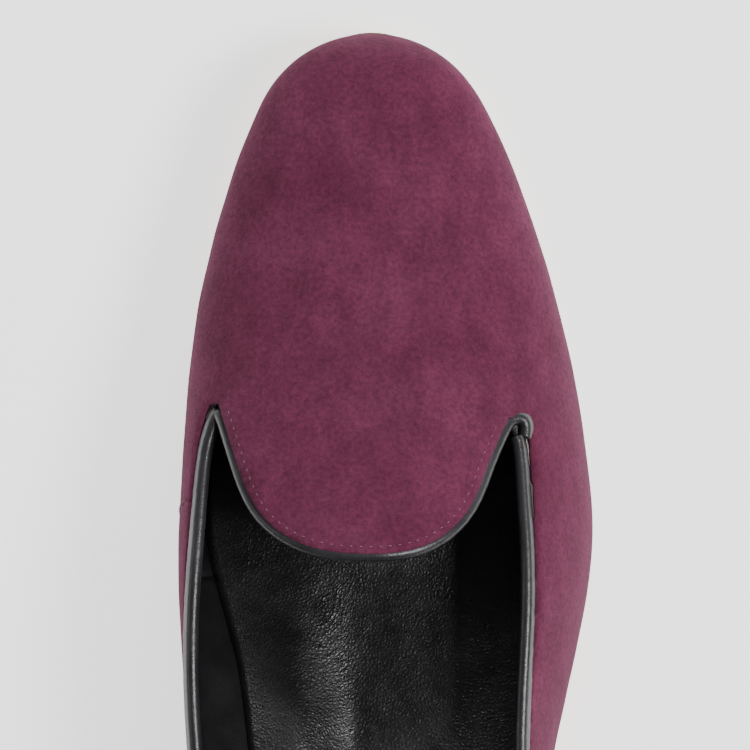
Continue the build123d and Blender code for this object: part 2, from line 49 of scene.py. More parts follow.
# The CAD's sizes that the pieces follow
LENGTH = 300.0
TOE_EDGE = 0.4  # sole edge ahead of the toe
BACK_STRIP = 0.9  # thickness
HEEL_HEIGHT = 18.0
TOE_SPRING = 12.0
CONTACT = 40.0  # y where the forepart meets the ground
BREAST = -86.0  # y of the heel's front
SOLE_THICKNESS = 4.5
ARCH_RISE = 6.5  # of the footbed, on the medial side
ARCH_Y = -30.0
ARCH_SPREAD = 30.0
HEEL_CENTRE = -112.0  # y of the middle of the heel's round
PIPING = 1.6  # radius
CORD = 0.85  # radius
CORD_INSET = 1.7  # the cord's middle, inside the suede
SEAM_FOOT = 27.0  # y of the medial side seam at the ground
SEAM_SLANT = 13.0 / 60.0  # forwards per height
LINING_INSET = 2.0
LINING = 0.9  # thickness
LINING_FRONT = 17.0  # y where the vamp lining ends
LINING_REAR = -104.0  # y where the heel grip begins

# Ends and middle of the upper, and the heel-toe line's x
TOE_TIP = LENGTH / 2 - TOE_EDGE
HEEL_BACK = -LENGTH / 2 + BACK_STRIP
HALF = (TOE_TIP - HEEL_BACK) / 2
MIDDLE = (TOE_TIP + HEEL_BACK) / 2
AXIS = -3.5
MEDIAL, LATERAL = -1, 1

# The skins that show
SUEDE_SHELL = 1.0  # thickness
SUEDE_WRINKLE = 0.34  # unevenness of the lasted suede
SOCK_RISE = 13.6  # over the outsole's underside
SOCK_SWELL = 0.25  # over the plain bed
SOCK = 0.8  # thickness
SOCK_INSET = 2.9  # of its edge, inside the suede


def curve(*points, round_ends=False):
    """Natural cubic spline through (y, value); round ends run straight in the value's square."""
    ys = np.array([p[0] for p in points], float)
    vs = np.array([p[1] ** 2 if round_ends else p[1] for p in points], float)
    n = len(ys)
    gaps = np.diff(ys)
    matrix = np.zeros((n, n))
    right = np.zeros(n)
    matrix[0, 0] = matrix[-1, -1] = 1.0
    for i in range(1, n - 1):
        matrix[i, i - 1 : i + 2] = gaps[i - 1], 2 * (gaps[i - 1] + gaps[i]), gaps[i]
        right[i] = 6 * ((vs[i + 1] - vs[i]) / gaps[i] - (vs[i] - vs[i - 1]) / gaps[i - 1])
    bends = np.linalg.solve(matrix, right)
    knots = ys.tolist()

    def value_at(y):
        y = min(max(y, knots[0]), knots[-1])
        i = min(max(bisect.bisect_right(knots, y) - 1, 0), n - 2)
        h = gaps[i]
        a, b = (knots[i + 1] - y) / h, (y - knots[i]) / h
        value = a * vs[i] + b * vs[i + 1]
        value += ((a**3 - a) * bends[i] + (b**3 - b) * bends[i + 1]) * h * h / 6
        return math.sqrt(max(value, 0.0)) if round_ends else float(value)

    return value_at


# Half-widths from the heel-toe line at the fullest height
half_width = {
    LATERAL: curve(
        (-150, 0), (-145, 17.2), (-135, 27.4), (-115, 33), (-85, 34.6), (-55, 38), (-23.8, 44.2),
        (0, 49.6), (26.8, 53.5), (41.3, 52.8), (70.4, 48.4), (99.4, 40.4), (128.5, 29.1), (143, 18.7),
        (147.8, 10.7), (150, 0), round_ends=True,
    ),
    MEDIAL: curve(
        (-150, 0), (-145, 17.2), (-135, 27.4), (-115, 33), (-85, 35.8), (-55, 39.6), (-23.8, 43.4),
        (0, 45.4), (26.8, 46.5), (41.3, 45.9), (70.4, 43.8), (99.4, 38.5), (128.5, 28.9), (143, 18.9),
        (147.8, 10.9), (150, 0), round_ends=True,
    ),
}  # fmt: skip

# Height of the middle of the section over the sole
ridge = curve(
    (-150, 28), (-148, 50), (-144, 70), (-135, 90), (-115, 100), (-90, 96), (-60, 85), (-24, 73.5),
    (0, 68.5), (20, 63), (40, 56), (60, 48.6), (80, 41), (100, 34.4), (120, 28.6), (135, 23), (143, 17.4),
    (147, 12), (150, 0), round_ends=True,
)  # fmt: skip

# Height of the fullest place, as a share of the ridge
fullest = {
    LATERAL: curve((-150, 0.3), (-85, 0.25), (-24, 0.18), (27, 0.17), (60, 0.2), (100, 0.32), (150, 0.42)),
    MEDIAL: curve((-150, 0.3), (-85, 0.31), (-24, 0.42), (27, 0.35), (60, 0.33), (100, 0.35), (150, 0.42)),
}

# How far the foot of the wall draws in from the fullest place, as a share of the half-width
draw_in = {
    LATERAL: curve((-150, 0.1), (-85, 0.09), (-24, 0.07), (27, 0.05), (100, 0.05), (150, 0.06)),
    MEDIAL: curve(
        (-150, 0.1), (-115, 0.11), (-85, 0.22), (-50, 0.41), (-24, 0.42), (5, 0.24), (27, 0.1),
        (60, 0.055), (100, 0.05), (150, 0.06),
    ),
}  # fmt: skip

# Superellipse exponent of the shoulder: 2 is round, 3 is square
shoulder = {
    LATERAL: curve((-150, 2.3), (-85, 2.2), (-24, 1.6), (27, 1.8), (60, 2.0), (100, 2.15), (150, 2.1)),
    MEDIAL: curve(
        (-150, 2.3), (-85, 2.5), (-24, 2.8), (27, 2.8), (47, 2.95), (62, 2.7), (100, 2.3), (150, 2.1),
    ),
}  # fmt: skip

# Side view of the top edge, at the middle of the piping
top_edge = curve(
    (-150, 80), (-120, 71.5), (-90, 63), (-60, 56.8), (-30, 52.6), (0, 50.2), (27, 47.2), (42, 44.4),
    (52, 42.8), (60, 42.6), (75, 42.6),
)  # fmt: skip

# Plan of the tongue's edge, at the middle of the piping, as (x from the heel-toe line, y)
tongue_plan = (
    (-36.6, 59.5), (-32.3, 46.5), (-26.3, 33.8), (-16.2, 26.8), (-2, 24.6), (13.2, 26.8), (22.4, 34.2),
    (27.8, 46), (32.6, 56.2),
)  # fmt: skip

# The tongue piping's end, folded over the lateral notch: (x from the heel-toe line, y, lift)
notch_fold = (
    (34.5, 56.6, 0.9), (35.4, 57.0, 1.2), (36.4, 56.3, 1.3), (36.9, 54.9, 1.2), (36.7, 53.3, 0.9),
    (36.3, 51.6, 0.5),
)  # fmt: skip
NOTCH_GAP = 3.2  # from the tongue's last point to the end of the side piping


def smooth_step(t):
    t = min(max(t, 0.0), 1.0)
    return t * t * (3 - 2 * t)


def side_of(x):
    return LATERAL if x > AXIS else MEDIAL


def table_y(y, inset=0.0):
    """Where y of a skin that lies inset inside the suede falls in the shape tables."""
    return (y - MIDDLE) / (HALF - inset) * 150.0


def sole_bottom(y):
    """Underside of the outsole: flat on the heel, down through the waist, up at the toe."""
    if y < CONTACT:
        return HEEL_HEIGHT * smooth_step((CONTACT - y) / (CONTACT - BREAST))
    return TOE_SPRING * ((y - CONTACT) / (TOE_TIP - CONTACT)) ** 2


def section(side, y, inset=0.0):
    """One side of the upper's section: half-width, draw-in, exponent and the three heights."""
    t = table_y(y, inset)
    full = half_width[side](t)
    width = max(full - inset, 0.4)
    height = ridge(t)
    sole_top = sole_bottom(y) + SOLE_THICKNESS
    base = sole_top + inset
    equator = sole_top + fullest[side](t) * height
    top = max(sole_top + height - inset, base + 0.8)
    equator = min(max(equator, base + 0.3), top - 0.3)
    return width, min(draw_in[side](t) * full, 0.7 * width), shoulder[side](t), base, equator, top


def wall_x(side, y, z, inset=0.0):
    """X of the upper's surface at a height."""
    width, drawn, power, base, equator, top = section(side, y, inset)
    if z < equator:
        reach = width - drawn * smooth_step((equator - z) / (equator - base))
    else:
        reach = width * max(1 - min((z - equator) / (top - equator), 1) ** power, 0) ** (1 / power)
    return AXIS + side * reach


def wall_z(x, y, inset=0.0):
    """Height of the upper's top surface over a point of the plan."""
    width, drawn, power, base, equator, top = section(side_of(x), y, inset)
    share = min(abs(x - AXIS) / width, 1)
    return equator + (top - equator) * (1 - share**power) ** (1 / power)


def bed_bump(x, y):
    """Arch rise of the moulded footbed, on the medial side."""
    arch = ARCH_RISE * math.exp(-(((y - ARCH_Y) / ARCH_SPREAD) ** 2))
    return arch * smooth_step(((AXIS - x) - 3) / 17)


def rim_z(y):
    return top_edge(table_y(y))


def section_curve(y, inset, wall_steps, top_steps):
    """Points of one section, from the medial foot over the top to the lateral foot."""
    halves = []
    for side in (MEDIAL, LATERAL):
        width, drawn, power, base, equator, top = section(side, y, inset)
        points = []
        for i in range(wall_steps):
            z = base + (equator - base) * i / wall_steps
            points.append((wall_x(side, y, z, inset), y, z))
        for i in range(top_steps):
            angle = math.radians(90 * i / top_steps)
            reach = width * math.cos(angle) ** (2 / power)
            rise = (top - equator) * math.sin(angle) ** (2 / power)
            points.append((AXIS + side * reach, y, equator + rise))
        halves.append(points)
    return [*halves[0], (AXIS, y, top), *reversed(halves[1])]


def distances(line):
    """How far along the line each of its points lies."""
    return np.r_[0.0, np.cumsum(np.linalg.norm(np.diff(line, axis=0), axis=1))]


def resample(points, count):
    """The same line with evenly spaced points."""
    line = np.array(points, float)
    steps = distances(line)
    marks = np.linspace(0.0, steps[-1], count)
    return np.stack([np.interp(marks, steps, line[:, k]) for k in range(3)], axis=1)


def smooth_line(points, count, rounds=3):
    """A smooth evenly spaced line through a rough one."""
    line = resample(points, count)
    for _ in range(rounds):
        line[1:-1] = line[1:-1] * 0.5 + (line[:-2] + line[2:]) * 0.25
    return line


def tongue_edge(count=120):
    """The middle of the tongue's piping, from the medial notch to the lateral one."""
    points = np.array([(x + AXIS, y, 0.0) for x, y in tongue_plan])
    spans = distances(points)
    along_x = curve(*zip(spans, points[:, 0]))
    along_y = curve(*zip(spans, points[:, 1]))
    marks = np.linspace(0, spans[-1], count)
    return [(along_x(m), along_y(m)) for m in marks]


def rim_line(inset):
    """The middle of the side piping, from the medial notch round the heel to the lateral notch."""
    sides = {}
    for side, end in ((MEDIAL, tongue_plan[0][1]), (LATERAL, tongue_plan[-1][1])):
        ys = np.linspace(end, HEEL_CENTRE, 60)
        sides[side] = [(wall_x(side, y, rim_z(y), inset), y, rim_z(y)) for y in ys]
    back = []
    for degrees in np.linspace(184, 356, 44):
        near, far = 0.0, 100.0
        for _ in range(40):
            reach = (near + far) / 2
            x = AXIS + reach * math.cos(math.radians(degrees))
            y = HEEL_CENTRE + reach * math.sin(math.radians(degrees))
            inside = y > HEEL_BACK + inset and wall_z(x, y, inset) > rim_z(y)
            near, far = (reach, far) if inside else (near, reach)
        back.append((x, y, rim_z(y)))
    return sides[MEDIAL] + back + sides[LATERAL][::-1]


# ---------------------------------------------------------------- meshes


def make_object(name, verts, faces, material, uvs=None):
    """A smooth mesh object from points in millimetres."""
    mesh = bpy.data.meshes.new(name)
    mesh.from_pydata([tuple(c * MM for c in v) for v in verts], [], faces)
    mesh.validate()
    mesh.polygons.foreach_set("use_smooth", [True] * len(mesh.polygons))
    if uvs is not None:
        layer = mesh.uv_layers.new(name="along")
        for loop in mesh.loops:
            layer.data[loop.index].uv = uvs[loop.vertex_index]
    mesh.materials.append(material)
    obj = bpy.data.objects.new(name, mesh)
    bpy.context.scene.collection.objects.link(obj)
    return obj


def thicken(obj, thickness):
    """Gives a skin its thickness, inwards from its outer surface, as part of its mesh."""
    solid = obj.modifiers.new("thickness", "SOLIDIFY")
    solid.thickness = thickness * MM
    solid.offset = -1.0
    graph = bpy.context.evaluated_depsgraph_get()
    mesh = bpy.data.meshes.new_from_object(obj.evaluated_get(graph))
    obj.modifiers.clear()
    obj.data = mesh


def grid_faces(rows, columns):
    """Faces of a sheet whose points run column by column in each row."""
    width = columns + 1
    faces = []
    for i in range(rows):
        for k in range(columns):
            a = i * width + k
            faces.append((a, a + 1, a + width + 1, a + width))
    return faces


def finish_piece(obj, slot, *nodes):
    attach(obj, "root")
    if nodes:
        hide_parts(*nodes)


TONGUE = tongue_edge()
TONGUE_X = np.array([p[0] for p in TONGUE])
TONGUE_Y = np.array([p[1] for p in TONGUE])


def tongue_edge_y(x):
    """Y of the tongue's edge over an x between the notches."""
    return float(np.interp(x, TONGUE_X, TONGUE_Y))


def is_open(x, y, z):
    """Whether a point of a skin lies in the foot opening, up to the middle of the piping."""
    if z <= rim_z(y):
        return False
    if x <= TONGUE_X[0] or x >= TONGUE_X[-1]:
        return y < (TONGUE_Y[0] if x < AXIS else TONGUE_Y[-1])
    return y < tongue_edge_y(x)


def wrinkle(x, y, z, strength):
    """Slow unevenness of a hand-lasted upper, in millimetres."""
    place = Vector((x, y, z))
    return strength * (noise.noise(place * 0.035) + 0.45 * noise.noise(place * 0.09 + Vector((7, 3, 1))))


def skin_stations(inset, y_step):
    """Ys of a skin's sections: even along the shoe, and closer towards its round ends."""
    ends = (HALF - inset) * np.cos(np.radians(np.linspace(1.2, 24, 26)))
    stations = np.concatenate([MIDDLE - ends, np.arange(-136.5, 137.0, y_step), MIDDLE + ends])
    return np.unique(np.round(np.sort(stations), 3))


def wrinkle_fade(y, z):
    """From none at the foot of the wall to full a little above it."""
    return smooth_step((z - sole_bottom(y) - 6.0) / 8.0)


def skin_grid(inset, y_step=1.0, wall_steps=16, top_steps=44, strength=0.0):
    """Points of a whole skin, section by section, and its faces outside the foot opening."""
    count = 2 * (wall_steps + top_steps) + 1
    rows = []
    for y in skin_stations(inset, y_step):
        rows.append(resample(section_curve(y, inset, wall_steps, top_steps), count))
    width = len(rows[0])
    points = np.concatenate(rows)
    if strength:
        for i, (x, y, z) in enumerate(points):
            outward = Vector((x - AXIS, 0.0, max(z - 25.0, 1.0))).normalized()
            points[i] += np.array(outward) * wrinkle(x, y, z, strength) * wrinkle_fade(y, z)
    faces = []
    for r in range(len(rows) - 1):
        for c in range(width - 1):
            quad = (r * width + c, r * width + c + 1, (r + 1) * width + c + 1, (r + 1) * width + c)
            centre = points[list(quad)].mean(axis=0)
            if not is_open(*centre):
                faces.append(quad)
    last = (len(rows) - 1) * width
    faces.append(tuple(range(width))[::-1])
    faces.append(tuple(range(last, last + width)))
    clean_edge(points, faces, inset)
    return points, faces


def edge_lines(inset):
    """Where a skin's cut edge runs under the piping: the side's rim and the tongue's edge."""
    side = np.array([(x, y, z - 0.5) for x, y, z in smooth_line(rim_line(inset), 900)])
    tongue = np.array([(x, y + 0.4, wall_z(x, y + 0.4, inset)) for x, y in tongue_edge(400)])
    return np.concatenate([side, tongue])


def clean_edge(points, faces, inset):
    """Draws the stepped border of the foot opening onto the line of the cut edge."""
    count = {}
    for face in faces:
        for a, b in zip(face, face[1:] + face[:1]):
            key = (min(a, b), max(a, b))
            count[key] = count.get(key, 0) + 1
    border = {i for key, n in count.items() if n == 1 for i in key}
    target = edge_lines(inset)
    for i in border:
        gaps = np.linalg.norm(target - points[i], axis=1)
        nearest = int(gaps.argmin())
        if gaps[nearest] < 2.6:
            points[i] = target[nearest]


def compact(points, faces):
    """Only the points that the faces use."""
    used = sorted({i for face in faces for i in face})
    index = {old: new for new, old in enumerate(used)}
    return [tuple(points[i]) for i in used], [tuple(index[i] for i in face) for face in faces]


def seam_y(z):
    """Y of the medial side seam at a height: slanted, further forward at the top."""
    return SEAM_FOOT + z * SEAM_SLANT


def sweep(name, line, profile, material, outward, swell=None):
    """A bar of any section along a line. outward(i) points to the profile's +X side."""
    count = len(line)
    verts, faces, uvs = [], [], []
    length = 0.0
    for i in range(count):
        here = Vector(line[i])
        before, after = Vector(line[max(i - 1, 0)]), Vector(line[min(i + 1, count - 1)])
        along = (after - before).normalized()
        side = Vector(outward(i))
        side = (side - along * side.dot(along)).normalized()
        up = along.cross(side).normalized()
        if up.z < 0:
            up = -up
        if i:
            length += (here - Vector(line[i - 1])).length
        grow = swell(length) if swell else 1.0
        for k, (a, b) in enumerate(profile):
            verts.append(here + side * a * grow + up * b * grow)
            uvs.append((length / 10.0, k / len(profile)))
    ring = len(profile)
    for i in range(count - 1):
        for k in range(ring):
            n = (k + 1) % ring
            faces.append((i * ring + k, (i + 1) * ring + k, (i + 1) * ring + n, i * ring + n))
    faces.append(tuple(range(ring)))
    faces.append(tuple(range((count - 1) * ring, count * ring))[::-1])
    return make_object(name, verts, faces, material, uvs)


# ---------------------------------------------------------------- materials


def new_material(name, roughness, specular=0.5, sheen=0.0, tint=(1, 1, 1, 1), coat=0.0, metallic=0.0):
    material = bpy.data.materials.new(name)
    material.use_nodes = True
    shader = material.node_tree.nodes["Principled BSDF"]
    shader.inputs["Roughness"].default_value = roughness
    shader.inputs["Specular IOR Level"].default_value = specular
    shader.inputs["Sheen Weight"].default_value = sheen
    shader.inputs["Sheen Tint"].default_value = tint
    shader.inputs["Sheen Roughness"].default_value = 0.5
    shader.inputs["Coat Weight"].default_value = coat
    shader.inputs["Coat Roughness"].default_value = 0.25
    shader.inputs["Metallic"].default_value = metallic
    return material, shader


class Nodes:
    """Short calls for the few node kinds that the materials are made of."""

    def __init__(self, material):
        self.tree = material.node_tree
        self.place = self.tree.nodes.new("ShaderNodeTexCoord").outputs["Object"]

    def link(self, source, target):
        self.tree.links.new(source, target)

    def noise(self, scale, detail=4.0, rough=0.55, stretch=None):
        node = self.tree.nodes.new("ShaderNodeTexNoise")
        node.inputs["Scale"].default_value = scale
        node.inputs["Detail"].default_value = detail
        node.inputs["Roughness"].default_value = rough
        self.link(self.stretched(stretch), node.inputs["Vector"])
        return node.outputs["Fac"]

    def stretched(self, stretch):
        if stretch is None:
            return self.place
        node = self.tree.nodes.new("ShaderNodeMapping")
        node.inputs["Scale"].default_value = stretch
        self.link(self.place, node.inputs["Vector"])
        return node.outputs["Vector"]

    def cells(self, scale, feature="F1", stretch=None):
        node = self.tree.nodes.new("ShaderNodeTexVoronoi")
        node.feature = feature
        node.inputs["Scale"].default_value = scale
        self.link(self.stretched(stretch), node.inputs["Vector"])
        return node.outputs["Distance"]

    def ramp(self, source, *stops):
        node = self.tree.nodes.new("ShaderNodeValToRGB")
        ramp = node.color_ramp
        while len(ramp.elements) < len(stops):
            ramp.elements.new(0.5)
        for element, (position, colour) in zip(ramp.elements, stops):
            element.position = position
            element.color = (*colour, 1.0)
        self.link(source, node.inputs["Fac"])
        return node.outputs["Color"]

    def mix(self, kind, factor, a, b):
        node = self.tree.nodes.new("ShaderNodeMix")
        node.data_type = "RGBA"
        node.blend_type = kind
        for socket, value in ((node.inputs[0], factor), (node.inputs[6], a), (node.inputs[7], b)):
            if isinstance(value, (int, float)):
                socket.default_value = value
            elif isinstance(value, tuple):
                socket.default_value = (*value, 1.0)
            else:
                self.link(value, socket)
        return node.outputs[2]

    def add(self, a, b, weight=1.0):
        node = self.tree.nodes.new("ShaderNodeMath")
        node.operation = "MULTIPLY_ADD"
        self.link(b, node.inputs[0])
        node.inputs[1].default_value = weight
        self.link(a, node.inputs[2])
        return node.outputs[0]

    def bump(self, shader, height, distance, strength=1.0):
        node = self.tree.nodes.new("ShaderNodeBump")
        node.inputs["Distance"].default_value = distance
        node.inputs["Strength"].default_value = strength
        self.link(height, node.inputs["Height"])
        self.link(node.outputs["Normal"], shader.inputs["Normal"])


def make_suede():
    material, shader = new_material("plum_suede", 0.95, 0.1, 0.12, (1.0, 0.5, 0.7, 1.0))
    nodes = Nodes(material)
    patches = nodes.ramp(nodes.noise(38, 5, 0.6), (0.3, (0.115, 0.0215, 0.050)), (0.7, (0.160, 0.037, 0.076)))
    flecks = nodes.ramp(nodes.noise(900, 3, 0.7), (0.3, (0.72, 0.72, 0.72)), (0.72, (1.25, 1.22, 1.24)))
    strokes = nodes.noise(170, 4, 0.65, (1.0, 0.45, 1.0))
    brushed = nodes.ramp(strokes, (0.32, (0.84, 0.82, 0.84)), (0.7, (1.16, 1.14, 1.18)))
    colour = nodes.mix("MULTIPLY", 1.0, nodes.mix("MULTIPLY", 1.0, patches, flecks), brushed)
    nodes.link(colour, shader.inputs["Base Color"])
    nodes.bump(shader, nodes.add(nodes.noise(2600, 3, 0.7), nodes.noise(420, 4, 0.6), 0.8), 0.00035, 0.55)
    return material


def make_black_leather(name, roughness, grain, depth, worn, coat=0.0, lift=1.0):
    """Black leather. worn lightens its rubbed patches, and lift lightens the whole."""
    material, shader = new_material(name, roughness, coat=coat)
    nodes = Nodes(material)
    deep = (0.0040 * lift, 0.0036 * lift, 0.0042 * lift)
    pale = (0.0105 * lift, 0.0098 * lift, 0.0112 * lift)
    tone = nodes.ramp(nodes.noise(60, 5, 0.6), (0.3, deep), (0.75, pale))
    rubbed = nodes.ramp(nodes.noise(38, 7, 0.68), (0.52, (1, 1, 1)), (0.78, (1 + worn,) * 3))
    nodes.link(nodes.mix("MULTIPLY", 1.0, tone, rubbed), shader.inputs["Base Color"])
    polished, matt = (roughness - 0.09,) * 3, (roughness + 0.12,) * 3
    nodes.link(nodes.ramp(nodes.noise(110, 6, 0.7), (0.3, polished), (0.75, matt)), shader.inputs["Roughness"])
    pebbles = nodes.cells(grain, "DISTANCE_TO_EDGE")
    folds = nodes.noise(grain * 0.35, 5, 0.65)
    nodes.bump(shader, nodes.add(pebbles, folds, 0.9), depth, 0.6)
    return material


def make_natural_leather():
    material, shader = new_material("sole_leather", 0.5, 0.4)
    nodes = Nodes(material)
    tone = nodes.ramp(nodes.noise(30, 7, 0.62), (0.28, (0.30, 0.155, 0.07)), (0.72, (0.47, 0.27, 0.135)))
    scratches = nodes.noise(90, 8, 0.75, (1.0, 0.25, 1.0))
    scuffs = nodes.ramp(scratches, (0.56, (1, 1, 1)), (0.75, (0.62, 0.58, 0.55)))
    nodes.link(nodes.mix("MULTIPLY", 1.0, tone, scuffs), shader.inputs["Base Color"])
    nodes.bump(shader, nodes.add(nodes.noise(800, 4, 0.6), nodes.cells(500), 0.5), 0.0002, 0.5)
    return material


def make_stacked_leather():
    material, shader = new_material("heel_leather", 0.32, 0.5, coat=0.3)
    nodes = Nodes(material)
    fibres = nodes.noise(420, 5, 0.6, (0.25, 0.25, 3.2))
    tone = nodes.ramp(fibres, (0.3, (0.022, 0.010, 0.006)), (0.7, (0.060, 0.030, 0.017)))
    patches = nodes.ramp(nodes.noise(45, 4, 0.6), (0.3, (0.8, 0.8, 0.8)), (0.7, (1.3, 1.25, 1.2)))
    nodes.link(nodes.mix("MULTIPLY", 1.0, tone, patches), shader.inputs["Base Color"])
    nodes.bump(shader, fibres, 0.00015, 0.6)
    return material


def make_rubber():
    material, shader = new_material("heel_rubber", 0.7, 0.35)
    nodes = Nodes(material)
    tone = nodes.ramp(nodes.noise(120, 6, 0.7), (0.3, (0.010, 0.010, 0.010)), (0.75, (0.030, 0.029, 0.028)))
    nodes.link(tone, shader.inputs["Base Color"])
    nodes.bump(shader, nodes.add(nodes.noise(1500, 3, 0.6), nodes.cells(700), 0.4), 0.00015, 0.5)
    return material


def make_metal(name, dark, light, roughness):
    material, shader = new_material(name, roughness, metallic=1.0)
    nodes = Nodes(material)
    tone = nodes.ramp(nodes.noise(260, 5, 0.6, (1.0, 1.0, 0.2)), (0.3, dark), (0.7, light))
    nodes.link(tone, shader.inputs["Base Color"])
    nodes.bump(shader, nodes.noise(1400, 3, 0.6), 0.0001, 0.4)
    return material


def make_fibrous(name, dark, light, scale, roughness=0.85, stretch=None):
    """Cork, board, cloth, cord, thread and foam: a matt stuff with a grain of its own size."""
    material, shader = new_material(name, roughness, 0.25)
    nodes = Nodes(material)
    grain = nodes.add(nodes.noise(scale, 6, 0.65, stretch), nodes.cells(scale * 1.6, stretch=stretch), 0.35)
    nodes.link(nodes.ramp(grain, (0.35, dark), (0.85, light)), shader.inputs["Base Color"])
    nodes.bump(shader, grain, 0.0003, 0.6)
    return material


# ---------------------------------------------------------------- materials of the pieces

SUEDE_LOOK = make_suede()
PIPING_LOOK = make_black_leather("black_piping_leather", 0.36, 1300, 0.00012, 0.5, coat=0.2, lift=3.4)
LINING_LOOK = make_black_leather("black_lining_leather", 0.5, 1500, 0.0002, 0.4)
SOCK_LOOK = make_black_leather("black_sock_leather", 0.34, 1150, 0.0002, 1.2)
THREAD_LOOK = make_fibrous("plum_thread", (0.16, 0.05, 0.07), (0.42, 0.22, 0.25), 2500)
CLOTH_DARK, CLOTH_LIGHT = (0.45, 0.42, 0.36), (0.7, 0.67, 0.6)

LOOKS = {
    "suede": SUEDE_LOOK,
    "lining": LINING_LOOK,
    "piping": PIPING_LOOK,
    "sock": SOCK_LOOK,
    "stiffener": make_fibrous("stiffener", (0.36, 0.31, 0.24), (0.62, 0.57, 0.47), 700),
    "cloth": make_fibrous("backing_cloth", CLOTH_DARK, CLOTH_LIGHT, 1200, stretch=(1.0, 0.3, 1.0)),
    "cord": make_fibrous("piping_cord", (0.5, 0.48, 0.43), (0.78, 0.76, 0.7), 1500),
    "board": make_fibrous("leatherboard", (0.25, 0.15, 0.09), (0.48, 0.33, 0.2), 500),
    "foam": make_fibrous("footbed_foam", (0.4, 0.38, 0.33), (0.58, 0.56, 0.5), 1100),
    "cork": make_fibrous("cork", (0.22, 0.12, 0.06), (0.55, 0.36, 0.2), 380),
    "steel": make_metal("steel", (0.42, 0.42, 0.43), (0.62, 0.62, 0.63), 0.35),
    "brass": make_metal("brass", (0.5, 0.33, 0.11), (0.72, 0.52, 0.22), 0.32),
    "sole_leather": make_natural_leather(),
    "thread": make_fibrous("waxed_thread", (0.5, 0.4, 0.25), (0.78, 0.68, 0.5), 2200, 0.5),
    "heel_leather": make_stacked_leather(),
    "heel_rubber": make_rubber(),
}

for entry in frame["record"]["subparts"]:
    look = LOOKS[entry["material_slot"]]
    for material_slot in frame["nodes"][entry["node"]].material_slots:
        material_slot.material = look


# ---------------------------------------------------------------- suede upper


def split_suede():
    """The suede skin as a vamp that runs on along the lateral side, and a medial quarter."""
    points, faces = skin_grid(0.0, strength=SUEDE_WRINKLE)
    vamp_faces, quarter_faces = [], []
    for face in faces:
        x, y, z = points[list(face)].mean(axis=0)
        behind = len(face) == 4 and x < AXIS and y < seam_y(z) and z < rim_z(y)
        (quarter_faces if behind else vamp_faces).append(face)
    return points, vamp_faces, quarter_faces


def make_suede_upper():
    points, vamp_faces, quarter_faces = split_suede()
    for node, faces in (("vamp", vamp_faces), ("medial_quarter", quarter_faces)):
        piece = make_object("suede_" + node, *compact(points, faces), SUEDE_LOOK)
        thicken(piece, SUEDE_SHELL)
        finish_piece(piece, "suede", node)


make_suede_upper()


# ---------------------------------------------------------------- lining


def make_lining():
    points, faces = skin_grid(LINING_INSET, y_step=2.0, wall_steps=10, top_steps=30)
    groups = {"vamp_lining": [], "medial_quarter_lining": [], "lateral_quarter_lining": [], "heel_grip": []}
    for face in faces:
        x, y, _ = points[list(face)].mean(axis=0)
        if y > LINING_FRONT:
            groups["vamp_lining"].append(face)
        elif y < LINING_REAR:
            groups["heel_grip"].append(face)
        else:
            groups["medial_quarter_lining" if x < AXIS else "lateral_quarter_lining"].append(face)
    for node, group in groups.items():
        piece = make_object("leather_" + node, *compact(points, group), LINING_LOOK)
        thicken(piece, LINING)
        finish_piece(piece, "lining", node)


make_lining()


# ---------------------------------------------------------------- sock


def bed_level(x, y):
    """Height of the sock before a foot has pressed it."""
    return sole_bottom(y) + SOCK_RISE + bed_bump(x, y)


def sock_level(x, y):
    """Height of the sock, with the soft hollows that a foot has pressed into it."""
    place = Vector((x, y, 0.0))
    return bed_level(x, y) + SOCK_SWELL + 0.3 * noise.noise(place * 0.05) + 0.12 * noise.noise(place * 0.16)


def make_sock():
    rows, columns = 150, 40
    verts = []
    for i in range(rows + 1):
        y = MIDDLE - (HALF - 4.0) * math.cos(math.radians(3 + 174 * i / rows))
        reach = {}
        for side in (MEDIAL, LATERAL):
            reach[side] = wall_x(side, y, bed_level(AXIS + side * 24, y), SOCK_INSET)
        for k in range(columns + 1):
            x = reach[MEDIAL] + (reach[LATERAL] - reach[MEDIAL]) * k / columns
            verts.append((x, y, sock_level(x, y)))
    piece = make_object("leather_sock", verts, grid_faces(rows, columns), SOCK_LOOK)
    thicken(piece, SOCK)
    finish_piece(piece, "sock", "sock")


make_sock()


# ---------------------------------------------------------------- piping


def round_profile(radius, count):
    turns = [2 * math.pi * k / count for k in range(count)]
    return [(radius * math.cos(turn), radius * math.sin(turn)) for turn in turns]


def puckered(length):
    """Small swellings where the leather was drawn round the cord."""
    slow = noise.noise(Vector((length * 0.55, 3.0, 1.0)))
    quick = noise.noise(Vector((length * 1.6, 0, 9)))
    return 1.0 + 0.035 * slow + 0.02 * quick


def piping_lines():
    """The two beads as one smooth run over the medial notch, parted at its top."""
    side = [Vector(p) for p in smooth_line(rim_line(CORD_INSET), 420)]
    tongue = [Vector((x, y, wall_z(x, y, CORD_INSET))) for x, y in TONGUE][::-1]
    stop = tongue_plan[-1][1] - NOTCH_GAP
    side = [p for p in side if not (p.x > AXIS and p.y > stop)]
    fold = [Vector((AXIS + x, y, wall_z(AXIS + x, y, CORD_INSET) + lift)) for x, y, lift in notch_fold]
    whole = resample(fold[::-1] + tongue + side[1:], 760)
    apex = int(np.argmin(np.linalg.norm(whole - np.array(tongue[-1]), axis=1)))
    for _ in range(40):
        near = slice(apex - 12, apex + 13)
        whole[near] = whole[near] * 0.5 + (whole[apex - 13 : apex + 12] + whole[apex - 11 : apex + 14]) * 0.25
    for _ in range(10):
        whole[1:60] = whole[1:60] * 0.5 + (whole[0:59] + whole[2:61]) * 0.25
    return whole[: apex + 1], whole[apex:]


